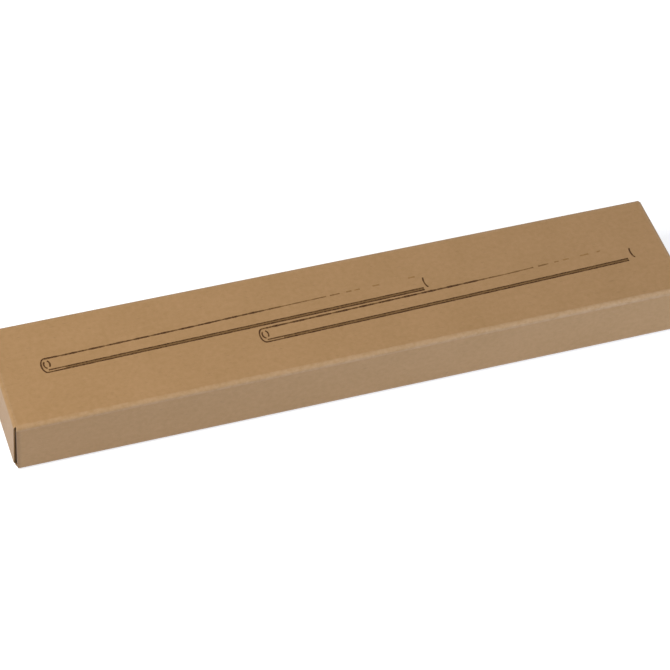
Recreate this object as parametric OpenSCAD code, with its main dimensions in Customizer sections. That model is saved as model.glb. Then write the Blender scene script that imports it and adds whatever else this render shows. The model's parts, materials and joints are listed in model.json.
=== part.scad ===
// A long, flat tuck-end carton folded from one blank of kraft board, shut at both ends.
// Each end has a closure hinged on the top panel's end crease, with a tuck tongue that goes in over
// the bottom panel, and two dust flaps folded in behind it from the front and back panels.
// Two plain straws are printed on the top panel in dark line.
// Millimetres. +X runs along the carton, +Y to its back, +Z up. The origin is the middle of the base.

/* [Carton] */
// Length over both closures when they stand square
carton_l = 220; // [200:1:300]
// Width over the front and back panels
carton_w = 41; // [36:0.5:60]
// Height over the bottom and top panels
carton_h = 19.5; // [17:0.5:30]
// Thickness of the board
board_t = 0.5; // [0.35:0.05:0.7]
// Outside radius of the long creases and of the closures' creases
crease_r = 1.2; // [1:0.1:1.8]
// How far the bottom panel's ends stop short of the closures' outer faces
bottom_setback = 0.4; // [0.3:0.1:0.8]
// How far in along its ends the bottom panel's corners are cut off
bottom_cut = 1; // [0.5:0.1:3]

/* [Closures] */
// Gap at its crease between a closure's side edges and the inner faces of the front and back panels
closure_side_gap = 0.5; // [0.2:0.1:1.5]
// Slope of a closure's side edges, which draw in from its crease to its tongue, in degrees
closure_taper = 1.7; // [0:0.1:3]
// Angle by which a shut closure springs off the end, in degrees
closure_spring = 0.8; // [0:0.1:2]
// Length of the tuck tongue past its crease
tongue_l = 10; // [6:0.5:12]
// How far the tongue is set in from its closure at each side
tongue_step = 0.7; // [0.5:0.1:3]
// Slope of the tongue's side edges, in degrees
tongue_taper = 6; // [0:1:15]
// Radius of the tongue's two corners
tongue_corner = 4; // [1:0.5:5]
// Gap between a shut closure and the dust flaps behind it
flap_gap = 0.2; // [0.15:0.05:0.6]
// Gap between the tuck crease and the bottom panel under it
tuck_gap = 0.2; // [0.15:0.05:0.5]
// Running gap round the crease that a closure turns on
turn_gap = 0.08; // [0.06:0.01:0.1]

/* [Dust flaps] */
// Depth of a dust flap past its crease
flap_l = 14; // [8:0.5:15]
// Outside radius of a dust flap's crease, which is pressed tighter than the others
flap_crease_r = 0.7; // [0.7:0.05:1.2]
// Slope of a dust flap's top and bottom edges, in degrees
flap_taper = 7; // [0:1:12]
// Radius of a dust flap's two corners
flap_corner = 2.5; // [0.5:0.5:4]
// Gap between a dust flap's edges and what turns past them, and from its crease to the long creases
flap_relief = 0.3; // [0.2:0.1:0.8]

/* [Glue flap] */
// Height of the glue flap past its crease
glue_l = 10; // [6:0.5:11]
// Slope of the glue flap's ends, in degrees
glue_taper = 20; // [0:5:45]
// How far the glue flap stops short of the dust flaps' creases
glue_setback = 0.6; // [0.3:0.1:4]
// Height of the back panel's cut edge above the base
seam_gap = 0.4; // [0.2:0.1:1]

/* [Print] */
// Length of one drawn straw
straw_l = 126; // [90:1:150]
// Width of a drawn straw between the middles of its side lines
straw_w = 5.6; // [4:0.1:8]
// Turn of the drawn straws from the carton's length, in degrees
straw_turn = 1.2; // [0:0.1:2]
// From the carton's left end to the first straw's mouth
print_left = 13.9; // [8:0.1:20]
// From the second straw's far end to the carton's right end
print_right = 12.1; // [8:0.1:20]
// How far the first straw's mouth stands behind the top panel's middle line
first_straw_y = 1.5; // [-2:0.1:6]
// How far the second straw's mouth stands in front of the first one's
straw_pitch = 5.7; // [5:0.1:9]
// Width of a printed line
line_w = 0.4; // [0.25:0.05:0.6]
// Spacing of the two close lines along a straw's near side
wall_line_gap = 0.9; // [0.6:0.05:1.2]
// Thickness of the ink film
ink_t = 0.05; // [0.03:0.01:0.1]

/* [Hidden] */
$fn = 48;
KRAFT = "#ae8d65";
INK = "#5a402a";

// A worked-out length to the nearest micron, so that the pieces on both sides of it meet on one face
function micron(length) = round(length * 1000) / 1000;

// The axis of the crease that a closure turns on
hinge_x = carton_l / 2 - crease_r;
hinge_z = carton_h - crease_r;
turn_r = crease_r + turn_gap;
// How far the closure's crease laps under the top panel's hollowed end, in degrees
crease_lap = 55;

// A closure, from its top crease down to its tuck crease
closure_w = carton_w - 2 * (board_t + closure_side_gap);
tuck_drop = hinge_z - (board_t + tuck_gap + crease_r);
closure_low_w = 2 * micron(closure_w / 2 - tuck_drop * tan(closure_taper));
tongue_w = closure_low_w - 2 * tongue_step;
// The least rise at which the turning tongue's tip swings clear of the bottom panel
tongue_rise = asin(tongue_l / (2 * tuck_drop));

// Where the dust flaps end, and the panels, whose cut ends are in line with the middle of the flaps'
// creases on the flat blank
flap_x = carton_l / 2 - board_t - flap_gap;
flap_crease_x = flap_x - flap_crease_r;
panel_x = micron(flap_crease_x + flap_crease_r * PI / 4);
flap_high = micron(hinge_z - turn_r - flap_relief);
flap_low = micron(hinge_z - (tuck_drop * cos(tongue_rise) + crease_r - board_t) + flap_relief);
root_high = hinge_z - flap_relief;
root_low = crease_r + flap_relief;

// The bottom panel runs on past the others, under the closures' tuck creases
bottom_x = carton_l / 2 - bottom_setback;

// The glue flap lies against the back panel's inner face
glue_x = flap_crease_x - glue_setback;
glue_y = carton_w / 2 - board_t;

// What a drawn straw is made of, from its mouth along its length and across it
cap_depth = 1.45;
mouth_centre = [1.8, 0.35];
mouth_radii = [0.95, 1.5];
solid_line_end = 93;
// Each broken piece of the far side line: its start and its length
far_side_dashes = [[94.3, 3.2], [99.8, 1.7], [102.5, 2.2], [108.6, 2.3]];
near_lines_end = straw_l - 2;
far_arc_radii = [0.8, 2.35];
// The middle of each straw's far arc, past its length and behind its middle line
far_arc_places = [[-0.3, 0.15], [0.6, 0.6]];
second_straw_x = carton_l / 2 - print_right - straw_l;

// A polygon's points with each corner rounded to its own radius, or left sharp where that is 0
function rounded(points, radii, steps = 8) = [
    for (i = [0 : len(points) - 1])
        let (
            p = points[i],
            to_last = points[(i + len(points) - 1) % len(points)] - p,
            to_next = points[(i + 1) % len(points)] - p,
            u = to_last / norm(to_last),
            v = to_next / norm(to_next),
            half = acos(u * v) / 2,
            centre = p + (u + v) / norm(u + v) * radii[i] / sin(half),
            s = p + u * radii[i] / tan(half) - centre,
            e = p + v * radii[i] / tan(half) - centre,
            from = atan2(s[1], s[0]),
            sweep = (atan2(e[1], e[0]) - from + 540) % 360 - 180
        )
        each radii[i] == 0 ? [p] : [
            for (k = [0 : steps])
                centre + radii[i] * [cos(from + sweep * k / steps), sin(from + sweep * k / steps)]
        ]
];

// Points on an ellipse about the origin
function ellipse_arc(radii, from, to, steps = 14) = [
    for (k = [0 : steps])
        let (a = from + (to - from) * k / steps)
        [radii[0] * cos(a), radii[1] * sin(a)]
];

// A folded strip of board standing on the XY plane: a quarter shell, or other sweep, round +Z
module crease(radius, length, sweep = 90) {
    rotate_extrude(angle = sweep)
        translate([radius - board_t, 0])
            square([board_t, length]);
}

// A crease along X at one long edge, turned to face its own corner
module long_crease(y, z, turn, half_length) {
    translate([-half_length, y, z])
        rotate([turn, 0, 0])
            rotate([0, 90, 0])
                crease(crease_r, 2 * half_length);
}

// The bottom panel, from the front crease to the glue flap's, with its four corners cut off
module bottom_panel() {
    front = crease_r - carton_w / 2;
    back = glue_y - crease_r;
    right = [
        [panel_x, front], [bottom_x, front + bottom_cut],
        [bottom_x, back - bottom_cut], [panel_x, back]
    ];
    left = [for (i = [len(right) - 1 : -1 : 0]) [-right[i][0], right[i][1]]];
    linear_extrude(board_t)
        polygon(concat(right, left));
}

// A front or back panel, standing, with its ends cut back where the dust flaps' creases start
module side_panel(low, high) {
    right = [
        [panel_x, low], [panel_x, root_low], [flap_crease_x, root_low],
        [flap_crease_x, root_high], [panel_x, root_high], [panel_x, high]
    ];
    left = [for (i = [len(right) - 1 : -1 : 0]) [-right[i][0], right[i][1]]];
    translate([0, carton_w / 2, 0])
        rotate([90, 0, 0])
            linear_extrude(board_t)
                polygon(concat(right, left));
}

// One dust flap with its crease, at the right end of the back panel
module dust_flap() {
    root = carton_w / 2 - flap_crease_r;
    tip = root - flap_l;
    slope = flap_l * tan(flap_taper);
    outline = rounded(
        [[root, flap_low], [root, flap_high], [tip, flap_high - slope], [tip, flap_low + slope]],
        [0, 0, flap_corner, flap_corner]
    );
    translate([flap_crease_x, root, root_low])
        crease(flap_crease_r, root_high - root_low);
    translate([flap_x - board_t, 0, 0])
        rotate([90, 0, 90])
            linear_extrude(board_t)
                polygon(outline);
}

// The glue flap with its crease, folded up from the bottom panel inside the back panel
module glue_flap() {
    slope = glue_l * tan(glue_taper);
    long_crease(glue_y - crease_r, crease_r, 0, glue_x);
    translate([0, glue_y, crease_r])
        rotate([90, 0, 0])
            linear_extrude(board_t)
                polygon([[-glue_x, 0], [glue_x, 0], [glue_x - slope, glue_l], [slope - glue_x, glue_l]]);
}

// The hollow that a closure's crease turns in, at the right end of the top panel
module turn_hollow() {
    translate([hinge_x, 0, hinge_z])
        rotate([90, 0, 0])
            cylinder(r = turn_r, h = closure_w + 2 * turn_gap, center = true);
}

module carton_body() {
    crease_y = carton_w / 2 - crease_r;
    color(KRAFT)
        difference() {
            union() {
                translate([-panel_x, -crease_y, carton_h - board_t])
                    cube([2 * panel_x, 2 * crease_y, board_t]);
                bottom_panel();
                side_panel(seam_gap, hinge_z);
                mirror([0, 1, 0])
                    side_panel(crease_r, hinge_z);
                long_crease(-crease_y, crease_r, -90, panel_x);
                long_crease(-crease_y, hinge_z, 180, panel_x);
                long_crease(crease_y, hinge_z, 90, panel_x);
                glue_flap();
                for (end = [0, 1], side = [0, 1])
                    mirror([end, 0, 0])
                        mirror([0, side, 0])
                            dust_flap();
            }
            for (end = [0, 1])
                mirror([end, 0, 0])
                    turn_hollow();
        }
}

// The tuck crease and the tongue in section, about the crease's own axis, running on past the tip
module tuck_section() {
    turn = -90 - tongue_rise;
    reach = 2 * tongue_l * [sin(turn), -cos(turn)];
    outer = ellipse_arc([crease_r, crease_r], 0, turn);
    inner = ellipse_arc([crease_r - board_t, crease_r - board_t], turn, 0);
    polygon(concat(outer, [outer[len(outer) - 1] + reach, inner[0] + reach], inner));
}

// The tongue's outline, from its tip to a little behind its crease
module tongue_outline() {
    slope = tongue_l * tan(tongue_taper);
    half = tongue_w / 2;
    back = 2 * crease_r;
    polygon(rounded(
        [
            [-tongue_l, half - slope], [-tongue_l, slope - half], [0, -half],
            [back, -half], [back, half], [0, half]
        ],
        [tongue_corner, tongue_corner, 0, 0, 0, 0]
    ));
}

// A closure about its own hinge axis, standing square at the right end
module closure() {
    half = closure_w / 2;
    low = closure_low_w / 2;
    // The radius at which a rounded bottom corner starts one tongue step in from the side edge
    step_r = tongue_step * tan(45 + closure_taper / 2);
    translate([0, half, 0])
        rotate([90, 0, 0])
            crease(crease_r, closure_w, 90 + crease_lap);
    translate([crease_r - board_t, 0, 0])
        rotate([90, 0, 90])
            linear_extrude(board_t)
                polygon(rounded(
                    [[-half, 0], [-low, -tuck_drop], [low, -tuck_drop], [half, 0]],
                    [0, step_r, step_r, 0]
                ));
    translate([0, 0, -tuck_drop])
        intersection() {
            translate([0, half, 0])
                rotate([90, 0, 0])
                    linear_extrude(closure_w)
                        tuck_section();
            rotate([0, tongue_rise, 0])
                translate([0, 0, -2 * crease_r])
                    linear_extrude(4 * crease_r)
                        tongue_outline();
        }
}

module left_closure() {
    mirror([1, 0, 0])
        right_closure();
}

module right_closure() {
    color(KRAFT)
        translate([hinge_x, 0, hinge_z])
            rotate([0, -closure_spring, 0])
                closure();
}

// A straight printed line at one distance across the straw
module ink_line(from, to, across) {
    translate([from, across - line_w / 2])
        square([to - from, line_w]);
}

// A printed line along part of an ellipse
module ink_arc(radii, from, to) {
    half = [line_w / 2, line_w / 2];
    outer = ellipse_arc(radii + half, from, to);
    inner = ellipse_arc(radii - half, to, from);
    polygon(concat(outer, inner));
}

// One drawn straw, from its open mouth to the short arc that closes its far end
module drawn_straw(far_arc_place) {
    near = -straw_w / 2;
    far = straw_w / 2;
    ink_line(cap_depth, solid_line_end, far);
    for (dash = far_side_dashes)
        ink_line(dash[0], dash[0] + dash[1], far);
    ink_line(cap_depth, near_lines_end, near);
    ink_line(mouth_centre[0], near_lines_end, near + wall_line_gap);
    translate([cap_depth, 0])
        ink_arc([cap_depth, far], 90, 270);
    translate(mouth_centre) {
        ink_arc(mouth_radii, 125, 262);
        ink_arc(mouth_radii, -50, 68);
    }
    translate([straw_l, 0] + far_arc_place)
        ink_arc(far_arc_radii, 130, 265);
}

module straw_print() {
    mouths = [
        [print_left - carton_l / 2, first_straw_y],
        [second_straw_x, first_straw_y - straw_pitch]
    ];
    color(INK)
        translate([0, 0, carton_h])
            linear_extrude(ink_t)
                for (i = [0 : len(mouths) - 1])
                    translate(mouths[i])
                        rotate(straw_turn)
                            drawn_straw(far_arc_places[i]);
}

carton_body();
left_closure();
right_closure();
straw_print();
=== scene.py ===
"""A long, flat kraft carton with a tuck closure at each end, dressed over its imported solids.

The board is built as what it is: one flat blank, in which every point has a place, carried round
its creases by folded paths. The sleeve with its glue flap and four dust flaps is one piece, each
closure is a sheet that bends at the top panel's end crease, and two straws are drawn on the top in
uneven ink. Sizes are in millimetres until a mesh is made. +X is the carton's right end, +Y its back
and +Z up.
"""

import itertools
import json
import logging
import math
from collections.abc import Callable, Sequence
from dataclasses import dataclass
from enum import Enum, IntEnum
from functools import partial
from typing import Any

import bpy
import numpy as np
from bpy.types import Material, NodeSocket, NodeTree, Object
from mathutils import Matrix, Vector

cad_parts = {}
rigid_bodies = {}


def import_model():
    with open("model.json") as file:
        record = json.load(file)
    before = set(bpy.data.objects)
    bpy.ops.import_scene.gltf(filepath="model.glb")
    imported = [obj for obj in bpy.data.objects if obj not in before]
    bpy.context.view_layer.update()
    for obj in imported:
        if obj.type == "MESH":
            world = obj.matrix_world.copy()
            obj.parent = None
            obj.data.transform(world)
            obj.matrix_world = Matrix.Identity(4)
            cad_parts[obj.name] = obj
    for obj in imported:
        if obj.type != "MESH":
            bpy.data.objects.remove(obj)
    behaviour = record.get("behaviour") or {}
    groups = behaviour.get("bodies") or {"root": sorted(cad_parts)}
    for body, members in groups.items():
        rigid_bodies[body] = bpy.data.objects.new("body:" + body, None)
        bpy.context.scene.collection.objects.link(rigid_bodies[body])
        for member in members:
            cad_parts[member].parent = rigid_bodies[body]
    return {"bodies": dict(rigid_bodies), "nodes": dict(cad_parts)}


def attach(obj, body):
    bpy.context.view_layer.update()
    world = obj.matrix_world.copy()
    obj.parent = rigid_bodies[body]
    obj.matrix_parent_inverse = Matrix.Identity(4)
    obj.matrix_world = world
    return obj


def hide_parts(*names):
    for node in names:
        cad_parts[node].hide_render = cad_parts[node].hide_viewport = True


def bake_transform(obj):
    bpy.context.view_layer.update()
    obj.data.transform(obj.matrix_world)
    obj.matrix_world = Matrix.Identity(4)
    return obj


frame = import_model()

LOG = logging.getLogger("carton")
MM = 0.001
MICRON_IN_MM = 0.001
TINY = 1e-9
CLOSE = 1e-6
SHARP_DEGREES = 35.0
CORNER_ROWS = 8
BLANK_MAP = "blank"

Array = np.ndarray
Pair = tuple[float, float]
Triple = tuple[float, float, float]


class End(Enum):
    """An end of the carton, by the sign of X."""

    LEFT = -1
    RIGHT = 1


class Wall(Enum):
    """A long wall of the carton, by the sign of Y."""

    FRONT = -1
    BACK = 1


class Face(Enum):
    """A side of the board, by the place of its finish in the piece's slots."""

    OUTSIDE = 0
    INSIDE = 1
    CUT = 2


class Knot(IntEnum):
    """A place round the sleeve's section, by its number among its path's knots."""

    TOP_START = 2
    TOP_END = 3
    FRONT_START = 4
    BOTTOM_START = 6
    BOTTOM_END = 7
    GLUE_START = 8


# Numpy helpers


def spaced(knots: Sequence[float], step: float) -> Array:
    """Places between rising knots no further apart than a step, with every knot kept."""
    parts = [
        np.linspace(low, high, max(1, math.ceil((high - low) / step - TINY)) + 1)[:-1]
        for low, high in itertools.pairwise(knots)
    ]
    return np.append(np.concatenate(parts), knots[-1])


def faded(distance: Array, reach: float) -> Array:
    """1 at no distance, easing to 0 at the reach: 1 less t² times 3 - 2t, t being their ratio."""
    t = np.clip(distance / reach, 0.0, 1.0)
    return 1.0 - t * t * (3.0 - 2.0 * t)


def corner_inset(distance: Array, radius: float) -> Array:
    """How far a round corner draws a side in near its edge: radius less root of radius² - run²."""
    run = np.clip(radius - distance, 0.0, radius)
    return radius - np.sqrt(radius * radius - run * run)


def corner_rows(edge: float, radius: float) -> Array:
    """The rows of a round corner before its edge: radius times 1 less the sine of equal turns."""
    return edge - radius * (1 - np.sin(np.linspace(0, np.pi / 2, CORNER_ROWS + 1)[:-1]))


def uneven(along: Array, seed: float) -> Array:
    """A slow wander between about -1 and 1: three sines, the seed's multiples as phases."""
    waves = ((7.3, 0.45, 3.7), (2.9, 0.33, 5.6), (1.1, 0.22, 7.5))
    return sum(share * np.sin(2 * np.pi * along / mm + seed * phase) for mm, share, phase in waves)


# Folded board


@dataclass(frozen=True)
class Run:
    """A stretch of folded path: flat board of a length, or a crease that turns left in degrees."""

    length: float = 0.0
    turn: float = 0.0


@dataclass(frozen=True)
class FoldedPath:
    """The outer line of folded board in section, with the inside of the fold on its left."""

    start: Pair
    heading: float
    radius: float
    runs: tuple[Run, ...]
    fade_rows: int = 4

    def knots(self) -> Array:
        """Distances along the path at which its runs start, and at which it ends."""
        spans = [run.length or math.radians(run.turn) * self.radius for run in self.runs]
        return np.concatenate([[0.0], np.cumsum(spans)])

    def at(self, along: Array) -> tuple[Array, Array]:
        """Points and outward normals of the path.

        On a flat run a point is the run's start plus its heading times the distance run. On a
        crease it is the crease's centre plus an arm of one radius, turned by the distance run over
        the radius.

        Args:
            along: distances along the path.

        Returns:
            Points and unit normals, one row for each distance.
        """
        points, normals = np.zeros((2, len(along), 2))
        knots = self.knots()
        place, angle = np.array(self.start, float), math.radians(self.heading)
        for run, (low, high) in zip(self.runs, itertools.pairwise(knots)):
            here = (along >= low - TINY) & (along <= high + TINY)
            step = along[here] - low
            way = np.array([math.cos(angle), math.sin(angle)])
            if run.turn:
                turned = angle + step / self.radius
                arm = np.stack([np.sin(turned), -np.cos(turned)], axis=1)
                centre = place + self.radius * np.array([-way[1], way[0]])
                points[here], normals[here] = centre + self.radius * arm, arm
                angle += math.radians(run.turn)
                place = centre + self.radius * np.array([math.sin(angle), -math.cos(angle)])
            else:
                points[here] = place + step[:, None] * way
                normals[here] = (way[1], -way[0])
                place = place + run.length * way
        return points, normals

    def samples(self, step: float, cells: int, fade: float, extra: Sequence[float]) -> Array:
        """Distances at which the path is drawn.

        Args:
            step: the widest gap on a flat run.
            cells: cells round each crease.
            fade: the reach beside a crease that is drawn finely, for the wear to fade in.
            extra: further distances that must be there.

        Returns:
            The distances, in rising order.
        """
        knots = self.knots()
        reach = fade * np.linspace(0.0, 1.0, self.fade_rows + 1)[1:]
        inner = knots[1:-1, None]
        beside = np.concatenate([inner - reach, inner + reach], axis=None)
        parts = []
        for run, (low, high) in zip(self.runs, itertools.pairwise(knots)):
            places = sorted([*extra] if run.turn else [*extra, *beside])
            places = [place for place in places if low + CLOSE < place < high - CLOSE]
            gap = (high - low) / cells if run.turn else step
            parts.append(spaced([low, *places, high], gap)[:-1])
        return np.append(np.concatenate(parts), knots[-1])

    def fold(self, along: Array, reach: float) -> Array:
        """How near each distance is to a crease: 1 on one, easing to 0 at a reach beside it."""
        near = [
            faded(np.maximum(np.maximum(low - along, along - high), 0.0), reach)
            for run, (low, high) in zip(self.runs, itertools.pairwise(self.knots()))
            if run.turn
        ]
        return np.max(near, axis=0)


@dataclass
class Patch:
    """A grid of points on a sheet's outer face, with all that its mesh needs.

    The marks are named values at the points, which become attributes for the finishes to read.
    """

    points: Array
    normals: Array
    blank: Array
    marks: dict[str, Array]
    kept: Array | None = None

    @classmethod
    def grid(
        cls, places: Sequence[Any], normals: Sequence[Any], blank: Sequence[Any], **marks: Any
    ) -> "Patch":
        """A patch from parts, each a number or an array that spreads to the grid's shape.

        Args:
            places: the points' X, Y and Z.
            normals: the normals' X, Y and Z.
            blank: the two places on the flat blank.
            **marks: the marks.

        Returns:
            The patch.
        """
        shape = np.broadcast(*places).shape
        stacks = [
            np.stack([np.broadcast_to(part, shape) for part in parts], axis=-1).astype(float)
            for parts in (places, normals, blank)
        ]
        spread = {label: np.broadcast_to(mark, shape) for label, mark in marks.items()}
        return cls(*stacks, spread)

    def quads(self, base: int) -> Array:
        """The kept cells as corners in order, facing the way the normals do.

        Args:
            base: the number of the grid's first point.

        Returns:
            One row of four point numbers for each kept cell.
        """
        rows, columns = self.points.shape[:2]
        number = base + np.arange(rows * columns).reshape(rows, columns)
        quads = np.stack(
            [number[:-1, :-1], number[1:, :-1], number[1:, 1:], number[:-1, 1:]], axis=2
        )
        first = self.points[:-1, :-1]
        facing = np.cross(self.points[1:, :-1] - first, self.points[:-1, 1:] - first)
        if (facing * self.normals[:-1, :-1]).sum() < 0:
            quads = quads[:, :, ::-1]
        return quads.reshape(-1, 4) if self.kept is None else quads[self.kept]


def sheet_piece(
    name: str, patches: Sequence[Patch], thickness: float, finishes: Sequence[Material]
) -> Object:
    """Joins patches of a sheet's outer face into one closed sheet with its finishes.

    Points closer than a micron become one. The inner face is the outer one moved against its
    normals by the thickness, and an edge that only one cell has gets a cut face to the inner one.

    Args:
        name: the piece's name.
        patches: the patches, which share points where they meet and have marks of the same names.
        thickness: the sheet's thickness.
        finishes: its finishes, in the order of the Face values.

    Returns:
        The object, with the blank's places as its UV map, and the marks and the edge as attributes.
    """
    bases = np.cumsum([0, *(patch.blank[..., 0].size for patch in patches[:-1])])
    quads = np.concatenate([patch.quads(base) for patch, base in zip(patches, bases)])
    points = np.concatenate([patch.points.reshape(-1, 3) for patch in patches])
    normals = np.concatenate([patch.normals.reshape(-1, 3) for patch in patches])
    blank = np.concatenate([patch.blank.reshape(-1, 2) for patch in patches])
    marks = {
        label: np.concatenate([patch.marks[label].ravel() for patch in patches])
        for label in patches[0].marks
    }

    microns = np.round(points / MICRON_IN_MM).astype(np.int64)
    _, first, number = np.unique(microns, axis=0, return_index=True, return_inverse=True)
    used, quads = np.unique(number.ravel()[quads], return_inverse=True)
    quads = quads.reshape(-1, 4)
    pick = first[used]
    points, normals, blank = points[pick], normals[pick], blank[pick]
    marks = {label: values[pick] for label, values in marks.items()}

    count = len(points)
    edges = np.stack([quads, np.roll(quads, -1, axis=1)], axis=2).reshape(-1, 2)
    shared = np.isin(edges[:, 0] * count + edges[:, 1], edges[:, 1] * count + edges[:, 0])
    start, stop = edges[~shared].T
    marks["edge"] = np.zeros(count)
    marks["edge"][start] = marks["edge"][stop] = 1.0
    rims = np.stack([stop, start, start + count, stop + count], axis=1)
    faces = np.concatenate([quads, quads[:, ::-1] + count, rims])
    finish = np.repeat([face.value for face in Face], [len(quads), len(quads), len(rims)])

    mesh = bpy.data.meshes.new(name)
    places = np.concatenate([points, points - normals * thickness]) * MM
    mesh.from_pydata(places.tolist(), [], faces.tolist())
    for material in finishes:
        mesh.materials.append(material)
    mesh.polygons.foreach_set("material_index", finish.astype(np.int32))
    corners = np.empty(len(mesh.loops), np.int32)
    mesh.loops.foreach_get("vertex_index", corners)
    layer = mesh.uv_layers.new(name=BLANK_MAP)
    layer.uv.foreach_set("vector", (blank[corners % count] * MM).astype(np.float32).ravel())
    for label, values in marks.items():
        attribute = mesh.attributes.new(label, "FLOAT", "POINT")
        attribute.data.foreach_set("value", np.tile(values, 2).astype(np.float32))
    mesh.shade_smooth()
    mesh.set_sharp_from_angle(angle=math.radians(SHARP_DEGREES))
    mesh.validate()
    mesh.update()
    piece = bpy.data.objects.new(name, mesh)
    bpy.context.scene.collection.objects.link(piece)
    LOG.info("%s: %d points, %d faces, %d cut edges", name, 2 * count, len(faces), len(rims))
    return piece


# The carton


@dataclass(frozen=True)
class Carton:
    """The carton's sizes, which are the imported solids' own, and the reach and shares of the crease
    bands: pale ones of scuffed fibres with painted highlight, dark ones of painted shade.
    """

    length: float = 220.0
    width: float = 41.0
    height: float = 19.5
    board: float = 0.5
    crease: float = 1.2
    flap_crease: float = 0.7
    side_gap: float = 0.5
    closure_taper: float = 1.7
    flap_gap: float = 0.2
    relief: float = 0.3
    bottom_setback: float = 0.4
    bottom_cut: float = 1.0
    tuck_gap: float = 0.2
    seam_gap: float = 0.4
    edge_band: float = 0.3
    fade: float = 0.5
    # Pale-band share on each closure's crease, left and right: scuffed fibres with painted
    # highlight, faint on the right where the crease turns from the light.
    closure_wear: Pair = (0.4, 0.05)

    @property
    def hinge_x(self) -> float:
        """How far out a closure's hinge axis lies."""
        return self.length / 2 - self.crease

    @property
    def hinge_z(self) -> float:
        """How high a closure's hinge axis lies."""
        return self.height - self.crease

    @property
    def closure_half(self) -> float:
        """Half of a closure's width at its crease."""
        return self.width / 2 - self.board - self.side_gap

    @property
    def tuck_drop(self) -> float:
        """From the hinge axis down to the tuck crease's own axis."""
        return self.hinge_z - (self.board + self.tuck_gap + self.crease)

    @property
    def flap_crease_x(self) -> float:
        """How far out the dust flaps' creases start, which end at the flaps' outer faces."""
        return self.length / 2 - self.board - self.flap_gap - self.flap_crease

    @property
    def panel_x(self) -> float:
        """How far out the panels' cut ends lie: halfway over the dust flaps' creases when flat."""
        return self.flap_crease_x + self.flap_crease * math.pi / 4


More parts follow.
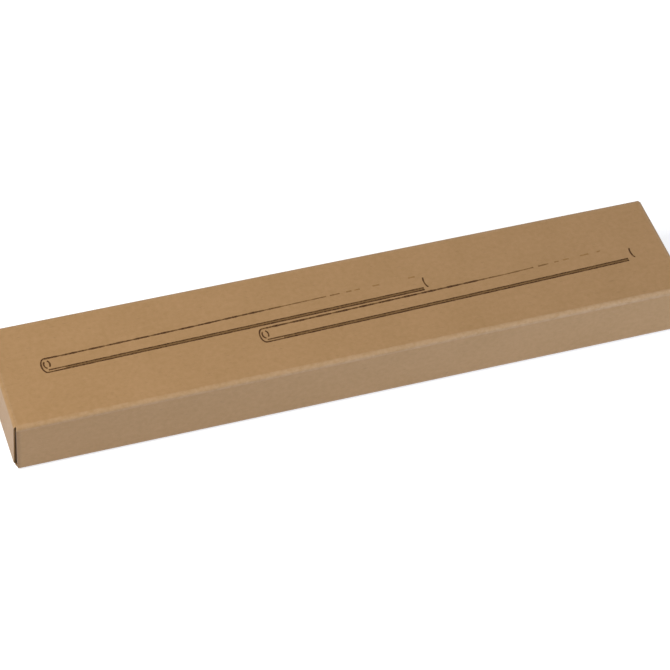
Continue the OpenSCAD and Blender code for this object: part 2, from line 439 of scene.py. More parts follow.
@dataclass(frozen=True)
class Sleeve:
    """The four panels with the glue flap and the four dust flaps, all one sheet."""

    carton: Carton
    flap_length: float = 14.0
    flap_taper: float = 7.0
    flap_corner: float = 2.5
    flap_span: Pair = (2.281, 16.72)
    glue_length: float = 10.0
    glue_taper: float = 20.0
    glue_setback: float = 0.6
    wide_bow: float = 0.16
    narrow_bow: float = 0.12
    bow_power: int = 6
    lip: float = 0.3
    # The pale crease band of scuffed fibres and painted highlight: its rise to the right, its share
    # at the back and its shift.
    wear_slope: float = 0.7
    back_wear: float = 0.3
    wear_shift: float = 0.18
    pressed_wall: float = 0.25
    pressed_reach: float = 2.5
    step: float = 2.4
    crease_cells: int = 10

    @property
    def root_span(self) -> Pair:
        """The levels between which the dust flaps' creases run, clear of the long creases."""
        return self.carton.crease + self.carton.relief, self.carton.hinge_z - self.carton.relief

    def section(self) -> FoldedPath:
        """The path round the sleeve in Y and Z.

        Returns:
            The path, from the back panel's cut edge to the glue flap's.
        """
        c = self.carton
        across, up = c.width - 2 * c.crease, c.height - 2 * c.crease
        flats = (c.hinge_z - c.seam_gap, across, up, across - c.board)
        runs = [run for flat in flats for run in (Run(length=flat), Run(turn=90))]
        runs.append(Run(length=self.glue_length))
        return FoldedPath((c.width / 2, c.seam_gap), 90.0, c.crease, tuple(runs))

    def around(self, extra: Sequence[float]) -> Array:
        """Distances round the section at which the sleeve is drawn, further ones among them."""
        reach = self.carton.fade + self.wear_shift
        return self.section().samples(self.step, self.crease_cells, reach, extra)

    def columns(self, end: float) -> Array:
        """Places along the carton at which the sleeve is drawn.

        Args:
            end: how far out the last of them lies.

        Returns:
            The places, in rising order.
        """
        c = self.carton
        root = c.flap_crease_x
        outer = [root - self.glue_setback, root - c.fade, root, c.hinge_x, c.panel_x]
        right = [x for x in outer if x <= end + TINY]
        return spaced([-x for x in reversed(right)] + right, self.step)

    def prism(self, x: Array, along: Array) -> Patch:
        """The section carried along the carton: each point has its own x and its place round it.

        Args:
            x: places along the carton, a row for each line of points round it.
            along: distances round the section, one for each column.

        Returns:
            The patch, without marks.
        """
        place, normal = self.section().at(along)
        sag = self.bow(x, along[None, :])
        y, z = (place[:, axis] - normal[:, axis] * sag for axis in (0, 1))
        return Patch.grid((x, y, z), (0.0, *normal.T), (x, along))

    def bow(self, x: Array, along: Array) -> Array:
        """How far a panel sags inwards: a parabola across it, less a high power of x over its end.

        Args:
            x: places along the carton.
            along: distances round the section, which spread to the same shape.

        Returns:
            The sag, 0 at every crease and at both ends.
        """
        path = self.section()
        sag = np.zeros(np.broadcast(x, along).shape)
        for run, (low, high) in zip(path.runs[:-1], itertools.pairwise(path.knots())):
            if not run.turn:
                deep = self.wide_bow if run.length > self.carton.height else self.narrow_bow
                t = np.clip((along - low) / (high - low), 0.0, 1.0)
                sag = sag + deep * 4 * t * (1 - t)
        share = np.clip(np.abs(x) / self.carton.flap_crease_x, 0.0, 1.0)
        return sag * (1 - share**self.bow_power)

    def top_place(self, y: Array) -> Array:
        """The distance round the section of a point on the top panel."""
        start = self.section().knots()[Knot.TOP_START]
        return start + self.carton.width / 2 - self.carton.crease - y

    @staticmethod
    def within(places: Array, *spans: Sequence[float]) -> Array:
        """Whether each place lies in any of some spans."""
        inside = [(places > low - TINY) & (places < high + TINY) for low, high in spans]
        return np.any(inside, axis=0)

    def panels(self) -> Patch:
        """The four panels with their three creases, cut out where flaps and closures take over.

        The long creases get a pale band of scuffed fibres and painted highlight, stronger to the
        right and weaker at the back as the light falls there, and a little past each. The walls'
        ends by the dust flaps get painted shade.

        Returns:
            The patch.
        """
        c, path = self.carton, self.section()
        knots = path.knots()
        low, high = knots[Knot.BOTTOM_START], knots[Knot.BOTTOM_END]
        front, back = (self.rows(wall, self.root_span) for wall in Wall)
        top = (self.top_place(c.closure_half), self.top_place(-c.closure_half))
        cuts = (low + c.bottom_cut, high - c.bottom_cut)
        along = self.around([c.edge_band, *self.flap_places(), *top, *cuts])
        along = along[along <= high + TINY]
        columns = self.columns(c.panel_x)
        x = columns[:, None] + np.zeros(len(along))
        share = np.clip(np.minimum(along - low, high - along) / c.bottom_cut, 0.0, 1.0)
        past = (c.length / 2 - c.bottom_setback - c.panel_x) * share
        for root, crease in ((back[1], knots[Knot.TOP_START]), (front[0], knots[Knot.TOP_END])):
            beyond = (along - root) / (crease - root)
            past += self.lip * np.where(beyond > -TINY, np.clip(1 - beyond, 0.0, 1.0), 0.0)
        x[0] -= past
        x[-1] += past
        patch = self.prism(x, along)

        far = np.abs((columns[:-1] + columns[1:]) / 2)[:, None]
        row = (along[:-1] + along[1:]) / 2
        by_flap = self.within(row, front, back) & (far > c.flap_crease_x)
        by_closure = self.within(row, top) & (far > c.hinge_x)
        patch.kept = ~by_flap & ~by_closure

        # Pale band: scuffed fibres and painted highlight, weighted to where the light falls on each
        # crease.
        folds = path.fold(along - self.wear_shift, c.fade) * (1 + self.wear_slope * x / c.length)
        folds = folds * np.where(along < self.top_place(0.0), self.back_wear, 1.0)
        ends = faded(np.maximum(c.hinge_x - np.abs(x), 0.0), c.fade) * self.within(along, top)
        folds = np.maximum(folds, ends * np.where(x < 0, *c.closure_wear))
        # Painted shade: the walls' ends darken towards the dust flaps' creases, for the shade by the
        # closures' edges.
        pressed = faded(np.maximum(c.flap_crease_x - np.abs(x), 0.0), c.fade)
        pressed = self.pressed_wall * pressed * self.within(along, front, back)
        patch.marks = {"fold": folds, "pressed": pressed}
        return patch

    def glue_flap(self) -> Patch:
        """The bottom panel's last crease and the glue flap.

        Returns:
            The patch, whose ends slant in as it rises.
        """
        c, path = self.carton, self.section()
        knots = path.knots()
        along = self.around([knots[-1] - c.edge_band])
        along = along[along >= knots[Knot.BOTTOM_END] - TINY]
        end = c.flap_crease_x - self.glue_setback
        rise = np.maximum(along - knots[Knot.GLUE_START], 0.0)
        share = 1 - rise * math.tan(math.radians(self.glue_taper)) / end
        patch = self.prism(self.columns(end)[:, None] * share, along)
        flat = np.zeros(patch.points.shape[:2])
        patch.marks = {"fold": path.fold(along, c.fade) + flat, "pressed": flat}
        return patch

    def dust_flap(self, end: End, wall: Wall) -> list[Patch]:
        """One dust flap with its crease: a path in plan, between edges that taper and round off.

        The crease is taller than the flap, and reaches nearly to the long creases above and below.

        Args:
            end: the carton's end that the flap closes.
            wall: the wall that it hangs on.

        Returns:
            The crease's patch, whose first row is the wall's own end, and the flap's.
        """
        runs = (Run(turn=90), Run(length=self.flap_length))
        plan = FoldedPath((0.0, 0.0), 0.0, self.carton.flap_crease, runs)
        start, tip = plan.knots()[1:]
        corner = corner_rows(tip, self.flap_corner)
        out = plan.samples(self.step, self.crease_cells, self.carton.fade, corner)
        crease, flap = out[out < start + TINY], out[out > start - TINY]
        return [
            self.flap_patch(end, wall, plan, part, span)
            for part, span in ((crease, self.root_span), (flap, self.flap_span))
        ]

    def flap_patch(self, end: End, wall: Wall, plan: FoldedPath, out: Array, span: Pair) -> Patch:
        """A stretch of a dust flap between two levels, its rows drawn together by taper and corner.

        Args:
            end: the carton's end.
            wall: the wall that the flap hangs on.
            plan: the flap's path in plan, from the wall's end.
            out: distances along that path.
            span: the stretch's lower and upper levels.

        Returns:
            The patch.
        """
        c, (crease, tip), (low, high) = self.carton, plan.knots()[1:], span
        around = self.around(self.flap_places())
        around = around[self.within(around, self.rows(wall, span))]
        level = wall.value * (around - self.foot(wall))
        (x, y), (across, inward) = (part.T[..., None] for part in plan.at(out))
        out = out[:, None]
        slant = np.maximum(out - crease, 0.0) * math.tan(math.radians(self.flap_taper))
        inset = slant + corner_inset(tip - out, self.flap_corner)
        z = low + inset + (level - low) / (high - low) * (high - low - 2 * inset)
        # Painted shade: darkest where the flap's crease turns in, fading out over the flap.
        pressed = self.pressed_wall + (1 - self.pressed_wall) * np.clip(out / crease, 0.0, 1.0)
        return Patch.grid(
            (end.value * (c.flap_crease_x + x), wall.value * (c.width / 2 - y), z),
            (end.value * across, -wall.value * inward, 0.0),
            (end.value * (c.flap_crease_x + out), around + (z - level) * wall.value),
            fold=0.0,
            pressed=pressed * faded(np.maximum(out - crease, 0.0), self.pressed_reach),
        )

    def foot(self, wall: Wall) -> float:
        """The distance round the section at which a wall, if it were longer, would be at level 0.

        Args:
            wall: the wall. Distances rise up the back wall and down the front one.

        Returns:
            The distance.
        """
        if wall is Wall.BACK:
            return -self.carton.seam_gap
        return self.section().knots()[Knot.FRONT_START] + self.carton.hinge_z

    def rows(self, wall: Wall, span: Pair) -> list[float]:
        """The distances round the section of two levels on a wall, in rising order."""
        return sorted(self.foot(wall) + wall.value * level for level in span)

    def flap_places(self) -> list[float]:
        """Where round the section the dust flaps and their creases start and end."""
        spans = (self.root_span, self.flap_span)
        return [place for wall in Wall for span in spans for place in self.rows(wall, span)]

    def build(self, finishes: Sequence[Material]) -> Object:
        """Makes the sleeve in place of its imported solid.

        Args:
            finishes: the outside, inside and cut-edge finishes.

        Returns:
            The finished piece.
        """
        flaps = [patch for end in End for wall in Wall for patch in self.dust_flap(end, wall)]
        patches = [self.panels(), self.glue_flap(), *flaps]
        piece = sheet_piece("carton_sleeve", patches, self.carton.board, finishes)
        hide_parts("carton_body")
        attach(piece, "carton")
        return piece


@dataclass(frozen=True)
class Closure:
    """An end closure with its tuck tongue, from the crease at the top panel's end."""

    carton: Carton
    sleeve: Sleeve
    end: End
    spring: float = 0.8
    tongue_length: float = 10.0
    tongue_step: float = 0.7
    tongue_taper: float = 6.0
    tongue_corner: float = 4.0
    bow: float = 0.08
    blend_reach: float = 0.35
    step: float = 1.6
    crease_cells: int = 12

    def section(self) -> FoldedPath:
        """The path out and down in X and Z, from the top panel's end to the tongue's tip.

        The tongue rises by the angle whose sine is half its length over the closure's drop, which
        is the least at which its tip swings clear of the bottom panel.

        Returns:
            The path, with +X out and +Z down.
        """
        drop = self.carton.tuck_drop
        rise = math.degrees(math.asin(self.tongue_length / (2 * drop)))
        runs = (
            Run(turn=90 - self.spring),
            Run(length=drop),
            Run(turn=90 + rise),
            Run(length=self.tongue_length),
        )
        return FoldedPath((0.0, 0.0), 0.0, self.carton.crease, runs)

    def half_width(self, along: Array) -> Array:
        """Half of the sheet's width: tapered, rounded in to the tongue's, tapered, and rounded.

        Args:
            along: distances along the path.

        Returns:
            The half width at each distance.
        """
        c, knots = self.carton, self.section().knots()
        fall = np.clip(along - knots[1], 0.0, c.tuck_drop) * math.tan(math.radians(c.closure_taper))
        foot = corner_inset(np.abs(np.minimum(along - knots[2], 0.0)), self.tongue_step)
        taper = np.maximum(along - knots[3], 0.0) * math.tan(math.radians(self.tongue_taper))
        tip = corner_inset(knots[4] - along, self.tongue_corner)
        return c.closure_half - fall - foot - taper - tip

    def sheet(self) -> Patch:
        """The closure and tongue as one grid, along the path and across the carton.

        Returns:
            The grid's patch.
        """
        c, path = self.carton, self.section()
        knots = path.knots()
        foot = corner_rows(knots[2], self.tongue_step)
        extra = [*foot, *corner_rows(knots[4], self.tongue_corner), knots[4] - c.edge_band]
        along = path.samples(self.step, self.crease_cells, c.fade, extra)
        side = 1 - c.edge_band / c.closure_half
        share = spaced([-1.0, -side, side, 1.0], 2 * self.step / c.closure_half)
        across = self.half_width(along)[:, None] * share
        t = np.clip((along - knots[1]) / (knots[2] - knots[1]), 0.0, 1.0)[:, None]
        sag = self.bow * 4 * t * (1 - t) * (1 - share**2)
        (x, down), (outward, below) = (part.T[..., None] for part in path.at(along))
        sign, along = self.end.value, along[:, None]
        return Patch.grid(
            (sign * (c.hinge_x + x - outward * sag), across, c.height - down + below * sag),
            (sign * outward, 0.0, -below),
            (sign * (c.hinge_x + along), self.sleeve.top_place(across)),
            # Pale crease band of scuffed fibres and painted highlight, much weaker at the right end
            # where the crease turns from the light.
            fold=c.closure_wear[list(End).index(self.end)] * path.fold(along, c.fade),
            pressed=0.0,
        )

    def build(self, finishes: Sequence[Material]) -> Object:
        """Makes the closure in place of its imported solid.

        Args:
            finishes: the outside, inside and cut-edge finishes.

        Returns:
            The finished piece.
        """
        side, board = self.end.name.lower(), self.carton.board
        piece = sheet_piece(f"{side}_closure_sheet", [self.sheet()], board, finishes)
        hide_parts(f"{side}_closure")
        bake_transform(piece)
        return piece


# The print


@dataclass(frozen=True)
class Stroke:
    """A line of ink: its middle points on the top panel, its width and how fully it covers.

    The wander is the share of width and cover by which it thins and swells, and the fade is the
    share of both that it loses when about three quarters of it is drawn.
    """

    points: Array
    width: float
    seed: float
    cover: float = 1.0
    wander: float = 0.15
    fade: float = 0.0


@dataclass(frozen=True)
class DrawnStraw:
    """One plain straw in outline, from its mouth, as points along it and across it.

    The strays are pairs of a place along it and how far a hand-drawn side strays across there, a
    dash is a start, a length and a cover, and turns are degrees at which an arc starts and stops.
    """

    mouth: Pair
    far_arc_place: Pair
    near_stray: tuple[Pair, ...]
    far_stray: tuple[Pair, ...]
    dashes: tuple[Triple, ...]
    seed: float
    length: float = 126.0
    width: float = 5.6
    turn: float = 1.2
    line: float = 0.5
    far_line: float = 0.58
    far_wander: float = 0.35
    far_fade: float = 0.36
    wall_gap: float = 0.9
    tone_start: float = 7.0
    tone_cover: float = 0.6
    cap_depth: float = 1.45
    cap_turns: Pair = (90, 270)
    mouth_centre: Pair = (1.8, 0.35)
    mouth_radii: Pair = (0.95, 1.5)
    mouth_turns: tuple[Pair, ...] = ((125, 262), (-50, 68))
    solid_end: float = 93.0
    near_back: float = 2.0
    far_arc_radii: Pair = (0.8, 2.35)
    far_arc_turns: Pair = (130, 265)
    step: float = 0.4
    arc_points: int = 25

    def placed(self, points: Array) -> Array:
        """Points along and across the straw, turned and moved to their place on the top panel."""
        cosine, sine = (trig(math.radians(self.turn)) for trig in (math.cos, math.sin))
        return np.array(self.mouth) + points @ np.array([[cosine, sine], [-sine, cosine]])

    def side(self, start: float, stop: float, across: float) -> Array:
        """Points close together along a side of the straw, or a line beside it.

        Args:
            start: where it starts along the straw.
            stop: where it ends.
            across: its distance across the straw, to which the side's own stray is added.

        Returns:
            The points on the top panel.
        """
        along = spaced([start, stop], self.step)
        places, strays = zip(*(self.far_stray if across > 0 else self.near_stray))
        return self.placed(np.stack([along, across + np.interp(along, places, strays)], axis=1))

    def arc(self, centre: Pair, radii: Pair, turns: Pair) -> Array:
        """Points round part of an ellipse: its centre plus its radii times cosine and sine.

        Args:
            centre: its place along and across the straw.
            radii: its radii along and across.
            turns: the degrees at which it starts and stops.

        Returns:
            The points on the top panel.
        """
        angles = np.radians(np.linspace(*turns, self.arc_points))
        ring = np.stack([np.cos(angles), np.sin(angles)], axis=1) * radii
        return self.placed(np.array(centre) + ring)

    def strokes(self) -> list[Stroke]:
        """All of the straw's lines.

        Returns:
            Its far side with dashes after it, the others, its cap, mouth and far end, and a tone.
        """
        half = self.width / 2
        near, wall, stop = -half, -half + self.wall_gap, self.length - self.near_back
        far_arc = (self.length + self.far_arc_place[0], self.far_arc_place[1])
        seeds = itertools.count(self.seed)
        far_side = self.side(self.cap_depth, self.solid_end, half)
        faint = self.far_wander, self.far_fade
        strokes = [Stroke(far_side, self.far_line, next(seeds), 1.0, *faint)]
        for start, size, cover in self.dashes:
            dash = self.side(start, start + size, half)
            strokes.append(Stroke(dash, self.line, next(seeds), cover, self.far_wander))
        lines = [
            self.side(self.cap_depth, stop, near),
            self.side(self.mouth_centre[0], stop, wall),
            self.arc((self.cap_depth, 0.0), (self.cap_depth, half), self.cap_turns),
            *(self.arc(self.mouth_centre, self.mouth_radii, turns) for turns in self.mouth_turns),
            self.arc(far_arc, self.far_arc_radii, self.far_arc_turns),
        ]
        strokes += [Stroke(points, self.line, next(seeds)) for points in lines]
        tone = self.side(self.tone_start, stop, (near + wall) / 2)
        width = self.wall_gap - self.line / 2
        return [*strokes, Stroke(tone, width, next(seeds), self.tone_cover)]


@dataclass(frozen=True)
class StrawPrint:
    """The two drawn straws as ribbons of ink that lie on the top panel and sink into it."""

    carton: Carton
    sleeve: Sleeve
    straws: tuple[DrawnStraw, ...] = (
        DrawnStraw(
            mouth=(-96.1, 1.5),
            far_arc_place=(-0.3, 0.15),
            near_stray=((0.0, 0.0), (30.0, 0.0), (118.0, -0.3)),
            far_stray=((1.45, 0.0), (8.0, -0.1), (50.0, -0.1), (65.0, 0.05), (124.0, 0.2)),
            dashes=(
                (94.3, 3.2, 0.65), (99.8, 1.7, 0.38), (102.5, 1.8, 0.33),
                (108.6, 2.3, 0.25), (120.6, 2.3, 0.2),
            ),
            seed=0.0,
        ),
        DrawnStraw(
            mouth=(-28.1, -4.2),
            far_arc_place=(0.6, 0.6),
            near_stray=((0.0, 0.0), (40.0, -0.08), (80.0, 0.0), (118.0, 0.15)),
            far_stray=((1.45, 0.0), (60.0, 0.15), (84.0, 0.2), (124.0, 1.3)),
            dashes=(
                (94.7, 3.6, 0.55), (100.4, 1.5, 0.45), (103.5, 2.0, 0.22),
                (109.4, 3.0, 0.22), (115.4, 1.2, 0.25),
            ),
            far_line=0.64,
            seed=40.0,
        ),
    )
    lift: float = 0.03
    depth: float = 0.05
    fade_start: float = 0.76
    fade_span: float = 0.1

    def ribbon(self, stroke: Stroke) -> Patch:
        """A stroke's upper face: its middle line moved to both sides by half a wandering width.

        Its cover falls with its width, so that a line is pale where it is thin.

        Args:
            stroke: the line to draw.

        Returns:
            A patch of three points across, which follows the top panel's sag.
        """
        steps = np.linalg.norm(np.diff(stroke.points, axis=0), axis=1)
        run = np.concatenate([[0.0], np.cumsum(steps)])
        way = np.gradient(stroke.points, run, axis=0)
        way /= np.linalg.norm(way, axis=1, keepdims=True)
        side = np.stack([-way[:, 1], way[:, 0]], axis=1)
        drift = uneven(run, stroke.seed)
        drawn = np.clip((run / run[-1] - self.fade_start) / self.fade_span, 0.0, 1.0)
        left = 1 - stroke.fade * drawn
        half = stroke.width / 2 * left * (1 + stroke.wander * drift)
        flat = np.stack([stroke.points + edge * half[:, None] * side for edge in (-1, 0, 1)])
        x, y = flat.transpose(2, 1, 0)
        along = self.sleeve.top_place(y)
        z = self.carton.height + self.lift - self.sleeve.bow(x, along)
        cover = stroke.cover * left * (1 - stroke.wander * np.clip(-drift, 0.0, 1.0))
        return Patch.grid((x, y, z), (0.0, 0.0, 1.0), (x, along), cover=cover[:, None])

    def build(self, ink: Material) -> Object:
        """Makes the print in place of its packed film.

        Args:
            ink: its finish.

        Returns:
            The finished piece.
        """
        patches = [self.ribbon(stroke) for straw in self.straws for stroke in straw.strokes()]
        piece = sheet_piece("straw_lines", patches, self.depth, [ink] * len(Face))
        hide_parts("straw_print")
        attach(piece, "carton")
        return piece


# Finishes


def linear(code: str) -> tuple[float, float, float, float]:
    """An sRGB hex colour as linear values: v / 12.92 where dark, else a power of 2.4; alpha is 1."""
    values = [int(code[place : place + 2], 16) / 255 for place in (1, 3, 5)]
    return *(v / 12.92 if v <= 0.04045 else ((v + 0.055) / 1.055) ** 2.4 for v in values), 1.0


def add_node(
    tree: NodeTree,
    kind: str,
    inputs: dict[int | str, Any] | None = None,
    output: int | str = 0,
    **settings: Any,
) -> NodeSocket | None:
    """Adds a node with its settings, input values and links.

    Args:
        tree: the node tree.
        kind: the node's type, without the ShaderNode that all its names start with.
        inputs: for each input, by name or number, a value or the output socket to link.
        output: the output that is wanted, by name or number.
        **settings: the node's own properties.

    Returns:
        That output's socket, or None for a node without any.
    """
    node = tree.nodes.new(f"ShaderNode{kind}")
    for key, value in settings.items():
        setattr(node, key, value)
    for key, value in (inputs or {}).items():
        if isinstance(value, NodeSocket):
            tree.links.new(value, node.inputs[key])
        else:
            node.inputs[key].default_value = value
    return node.outputs[output] if node.outputs else None


def new_material(name: str) -> tuple[Material, Callable[..., NodeSocket]]:
    """An empty node material.

    Args:
        name: the material's name.

    Returns:
        The material, and add_node for its tree.
    """
    material = bpy.data.materials.new(name)
    material.use_nodes = True
    material.node_tree.nodes.clear()
    return material, partial(add_node, material.node_tree)


@dataclass(frozen=True)
class KraftBoard:
    """Uncoated kraft linerboard, smoothed between the paper machine's press rolls.

    Brown pulp gives a warm mid tone with soft clouds, a fine mottle and short fibres a little
    darker than the rest. The surface is matt, with the faint gloss of such smooth paper at a low
    angle. Along the creases a paler band is painted, partly fibres that open up in the crease and
    partly painted highlight where the round crease catches the light. By the dust flaps' tight
    creases a dark brown is painted shade, for the shade they turn into beside the closures' edges.
    Sizes are real ones, in mm.
    """

    name: str = "kraft_linerboard_outside"
    dark: str = "#9B7648"
    pale: str = "#A88155"
    fibre: str = "#84643F"
    # Pale crease band: scuffed fibres and painted highlight.
    worn: str = "#B89B7A"
    # Painted shade for the dust flaps' tight creases, which turn into the closures' shade.
    crushed: str = "#4E3822"
    roughness: float = 0.55
    ior: float = 1.48
    fuzz: float = 0.09
    fuzz_roughness: float = 0.5
    cloud_mm: float = 16.0
    mottle_mm: float = 1.6
    grit_mm: float = 0.35
    fibre_mm: Pair = (2.2, 0.5)
    grain: float = 0.6
    mottle_share: float = 0.65
    shade_range: Pair = (0.3, 0.7)
    fibre_range: Pair = (0.62, 0.76)
    fibre_strength: float = 0.45
    rub_range: Pair = (0.35, 0.65)
    least_rub: float = 0.4
    wear: float = 0.36
    crush: float = 0.6
    bump_mm: float = 0.012
    bump_strength: float = 0.6

    def material(self) -> Material:
        """Builds the finish, each pattern on the flat blank's own places so that it follows folds.

        Clouds, mottle and grit are noises of their real sizes. A fibre is a noise stretched along
        the board's grain, of which only the highest part shows.

        Returns:
            The new material.
        """
        material, node = new_material(self.name)
        blank = node("UVMap", uv_map=BLANK_MAP)
        on_blank = {"Vector": blank, "Roughness": self.grain}
        cloud, mottle, grit = (
            node("TexNoise", {**on_blank, "Scale": 1 / (size * MM), "Detail": fine})
            for size, fine in ((self.cloud_mm, 2.0), (self.mottle_mm, 3.0), (self.grit_mm, 1.0))
        )
        stretch = (*(1 / (size * MM) for size in self.fibre_mm), 1.0)
        stretched = node("VectorMath", {0: blank, 1: stretch}, operation="MULTIPLY")
        strand = node("TexNoise", {"Vector": stretched, "Scale": 1.0, "Detail": 2.0})
        shade = node("Mix", {0: self.mottle_share, 2: cloud, 3: mottle})
        spread, fibres, pale_amount = (
            node("MapRange", {0: value, 1: low, 2: high, 3: least, 4: most})
            for value, (low, high), least, most in (
                (shade, self.shade_range, 0.0, 1.0),
                (strand, self.fibre_range, 0.0, self.fibre_strength),
                (mottle, self.rub_range, self.least_rub * self.wear, self.wear),
            )
        )
        fold, edge, pressed = (
            node("Attribute", output="Fac", attribute_name=mark)
            for mark in ("fold", "edge", "pressed")
        )
        # Pale band on creases and cut edges: scuffed fibres, with painted highlight on the creases.
        pale_band = node("Math", {0: fold, 1: edge}, operation="MAXIMUM")
        pale_band = node("Math", {0: pale_band, 1: pale_amount}, operation="MULTIPLY")
        # Painted shade by the dust flaps' creases.
        pressed = node("Math", {0: pressed, 1: self.crush}, operation="MULTIPLY")
        colour = linear(self.dark)
        for share, tint in (
            (spread, self.pale),
            (fibres, self.fibre),
            (pale_band, self.worn),
            (pressed, self.crushed),
        ):
            mix = {0: share, 6: colour, 7: linear(tint)}
            colour = node("Mix", mix, 2, data_type="RGBA")
        height = node("Math", {0: grit, 1: strand}, operation="ADD")
        bump = {"Height": height, "Strength": self.bump_strength, "Distance": self.bump_mm * MM}
        surface = {
            "Base Color": colour,
            "Roughness": self.roughness,
            "IOR": self.ior,
            "Sheen Weight": self.fuzz,
            "Sheen Roughness": self.fuzz_roughness,
            "Normal": node("Bump", bump),
        }
        board = node("BsdfPrincipled", surface)
        node("OutputMaterial", {"Surface": board})
        return material


@dataclass(frozen=True)
class CutEdge:
    """The bare core of die-cut board: rough, with torn fibres, darker than its face, partly the
    core's own brown and partly painted shade for the narrow gaps its edges stand in.
    """

    name: str = "die_cut_board_core"
    # Darker than the face: the core's own brown with painted shade for the gaps its edges stand in.
    dark: str = "#765836"
    pale: str = "#94734A"
    torn_mm: float = 0.3
    grain: float = 0.6
    roughness: float = 0.85

    def material(self) -> Material:
        """Builds the finish from one noise on object coordinates, of the torn fibres' size.

        Returns:
            The new material.
        """
        material, node = new_material(self.name)
        place = node("TexCoord", output="Object")
        noise = {"Vector": place, "Scale": 1 / (self.torn_mm * MM), "Roughness": self.grain}
        torn = node("TexNoise", noise)
        mix = {0: torn, 6: linear(self.dark), 7: linear(self.pale)}
        colour = node("Mix", mix, 2, data_type="RGBA")
        board = node("BsdfPrincipled", {"Base Color": colour, "Roughness": self.roughness})
        node("OutputMaterial", {"Surface": board})
        return material


@dataclass(frozen=True)
class PrintInk:
    """Dark brown water-based ink, laid on from a rubber plate and drunk in by the board.

    It dries matt, and is thinner where the board's fibres stand up, so that brown shows in spots.
    """

    name: str = "flexo_ink_on_kraft"
    full: str = "#3A1E06"
    board: str = "#A07A4B"
    spot_mm: float = 0.7
    spot_range: Pair = (0.4, 0.7)
    spots: float = 0.3
    grain: float = 0.6
    roughness: float = 0.75
    ior: float = 1.38

    def material(self) -> Material:
        """Builds the finish: the board's colour, under ink as far as cover and spots let it.

        The spots are one noise of the size of the fibres that stand up.

        Returns:
            The new material.
        """
        material, node = new_material(self.name)
        blank = node("UVMap", uv_map=BLANK_MAP)
        noise = {"Vector": blank, "Scale": 1 / (self.spot_mm * MM), "Roughness": self.grain}
        spot = node("TexNoise", noise)
        low, high = self.spot_range
        held = node("MapRange", {0: spot, 1: low, 2: high, 3: 1.0, 4: 1.0 - self.spots})
        cover = node("Attribute", output="Fac", attribute_name="cover")
        share = node("Math", {0: cover, 1: held}, operation="MULTIPLY")
        mix = {0: share, 6: linear(self.board), 7: linear(self.full)}
        colour = node("Mix", mix, 2, data_type="RGBA")
        surface = {"Base Color": colour, "Roughness": self.roughness, "IOR": self.ior}
        ink = node("BsdfPrincipled", surface)
        node("OutputMaterial", {"Surface": ink})
        return material


# The studio


@dataclass(frozen=True)
class Lamp:
    """A soft square lamp, aimed at the carton: its place in metres, its size, power and tint."""

    name: str
    place: Triple
    size: float
    watts: float
    tint: str

    def build(self) -> None:
        """Adds the lamp to the scene."""
        data = bpy.data.lights.new(self.name, "AREA")
        data.shape, data.size, data.energy = "SQUARE", self.size, self.watts
        data.color = linear(self.tint)[:3]
        lamp = bpy.data.objects.new(self.name, data)
        lamp.visible_camera = lamp.visible_glossy = False
        lamp.location = self.place
        lamp.rotation_euler = (-Vector(self.place)).to_track_quat("-Z", "Y").to_euler()
        bpy.context.scene.collection.objects.link(lamp)


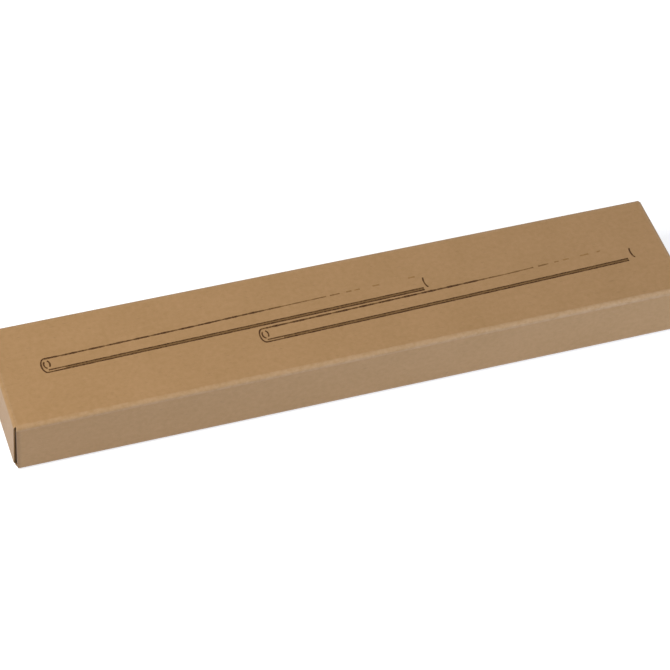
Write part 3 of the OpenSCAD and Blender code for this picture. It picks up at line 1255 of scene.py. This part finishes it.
@dataclass(frozen=True)
class Studio:
    """A white sweep with a pale floor, soft lamps and the camera at the photograph's angle."""

    world_light: float = 0.385
    world_tint: str = "#FFFBF7"
    floor_half: float = 3.0
    floor_drop: float = 0.0002
    floor_colour: str = "#C8C8C8"
    floor_lift: float = 0.64
    floor_fade: Pair = (0.3, 0.7)
    camera_place: Triple = (-0.215409, -0.524599, 0.641968)
    camera_right: Triple = (0.947688, -0.313459, 0.060248)
    camera_up: Triple = (0.196645, 0.722018, 0.663340)
    camera_lens: float = 144.567
    camera_sensor: float = 36.0
    camera_clip: Pair = (0.01, 20.0)
    lamps: tuple[Lamp, ...] = (
        Lamp("key_lamp", (-0.46, -0.07, 0.53), 0.35, 3.9, "#F6FAFF"),
        Lamp("front_lamp", (0.35, -0.45, 0.1), 0.25, 2.85, "#BFD6FF"),
    )

    def build(self) -> None:
        """Adds the camera, the world, the floor and the lamps, and sets the view transform."""
        self.add_camera()
        self.add_world()
        self.add_floor()
        for lamp in self.lamps:
            lamp.build()
        bpy.context.scene.view_settings.view_transform = "Standard"

    def add_camera(self) -> None:
        """Adds the camera. Its place, turn and lens were worked out from the carton's outline."""
        data = bpy.data.cameras.new("photo_camera")
        data.lens, data.sensor_width = self.camera_lens, self.camera_sensor
        data.clip_start, data.clip_end = self.camera_clip
        camera = bpy.data.objects.new("photo_camera", data)
        right, up = Vector(self.camera_right).normalized(), Vector(self.camera_up).normalized()
        axes = Matrix((right, up, right.cross(up))).transposed()
        camera.matrix_world = Matrix.Translation(self.camera_place) @ axes.to_4x4()
        bpy.context.scene.collection.objects.link(camera)
        bpy.context.scene.camera = camera

    @staticmethod
    def seen_directly(node: Callable[..., NodeSocket]) -> NodeSocket:
        """Tells rays that see a thing from rays that light others.

        Args:
            node: add_node for a tree.

        Returns:
            1 for rays from the camera, from a gloss or through a clear body, and 0 for the rest.
        """
        seen = node("LightPath", output="Is Camera Ray")
        for ray in ("Is Glossy Ray", "Is Transmission Ray"):
            seen = node("Math", {0: seen, 1: node("LightPath", output=ray)}, operation="MAXIMUM")
        return seen

    def add_world(self) -> None:
        """Makes the world white where it is seen, and a plain soft light elsewhere."""
        world = bpy.data.worlds.new("white_sweep")
        world.use_nodes = True
        world.node_tree.nodes.clear()
        node = partial(add_node, world.node_tree)
        soft = (*(self.world_light * value for value in linear(self.world_tint)[:3]), 1.0)
        mix = {0: self.seen_directly(node), 6: soft, 7: (1.0, 1.0, 1.0, 1.0)}
        colour = node("Mix", mix, 2, data_type="RGBA")
        light = node("Background", {"Color": colour})
        node("OutputWorld", {"Surface": light})
        bpy.context.scene.world = world

    def add_floor(self) -> None:
        """Adds a pale floor that keeps the carton's shadow, and is white further away from it."""
        material, node = new_material("matt_white_floor")
        paint = node("BsdfDiffuse", {"Color": linear(self.floor_colour)})
        place = node("TexCoord", output="Object")
        away = node("VectorMath", {0: place}, "Value", operation="LENGTH")
        near, far = self.floor_fade
        fade = {0: away, 1: near, 2: far, 3: self.floor_lift, 4: 1.0}
        lift = node("MapRange", fade, interpolation_type="SMOOTHSTEP")
        strength = node("Math", {0: self.seen_directly(node), 1: lift}, operation="MULTIPLY")
        glow = node("Emission", {"Strength": strength})
        both = node("AddShader", {0: paint, 1: glow})
        node("OutputMaterial", {"Surface": both})
        mesh = bpy.data.meshes.new("studio_floor")
        half, low = self.floor_half, -self.floor_drop
        corners = [(-half, -half, low), (half, -half, low), (half, half, low), (-half, half, low)]
        mesh.from_pydata(corners, [], [(0, 1, 2, 3)])
        mesh.materials.append(material)
        floor = bpy.data.objects.new("studio_floor", mesh)
        bpy.context.scene.collection.objects.link(floor)


def clear_startup() -> None:
    """Removes whatever the start-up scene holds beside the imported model."""
    kept = set(frame["bodies"].values()) | set(frame["nodes"].values())
    for thing in list(bpy.context.scene.objects):
        if thing not in kept:
            bpy.data.objects.remove(thing)


def main() -> None:
    """Builds the studio and the carton."""
    logging.basicConfig(level=logging.INFO, format="%(name)s: %(message)s")
    clear_startup()
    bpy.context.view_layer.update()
    Studio().build()
    finishes = (
        KraftBoard().material(),
        KraftBoard(name="kraft_linerboard_inside", roughness=0.65, wear=0.15).material(),
        CutEdge().material(),
    )
    carton = Carton()
    sleeve = Sleeve(carton)
    pieces = [sleeve.build(finishes)]
    pieces += [Closure(carton, sleeve, end).build(finishes) for end in End]
    pieces.append(StrawPrint(carton, sleeve).build(PrintInk().material()))
    for piece in pieces:
        LOG.info("%s: %s", piece.name, [round(side / MM, 2) for side in piece.dimensions])


if __name__ == "__main__":
    main()
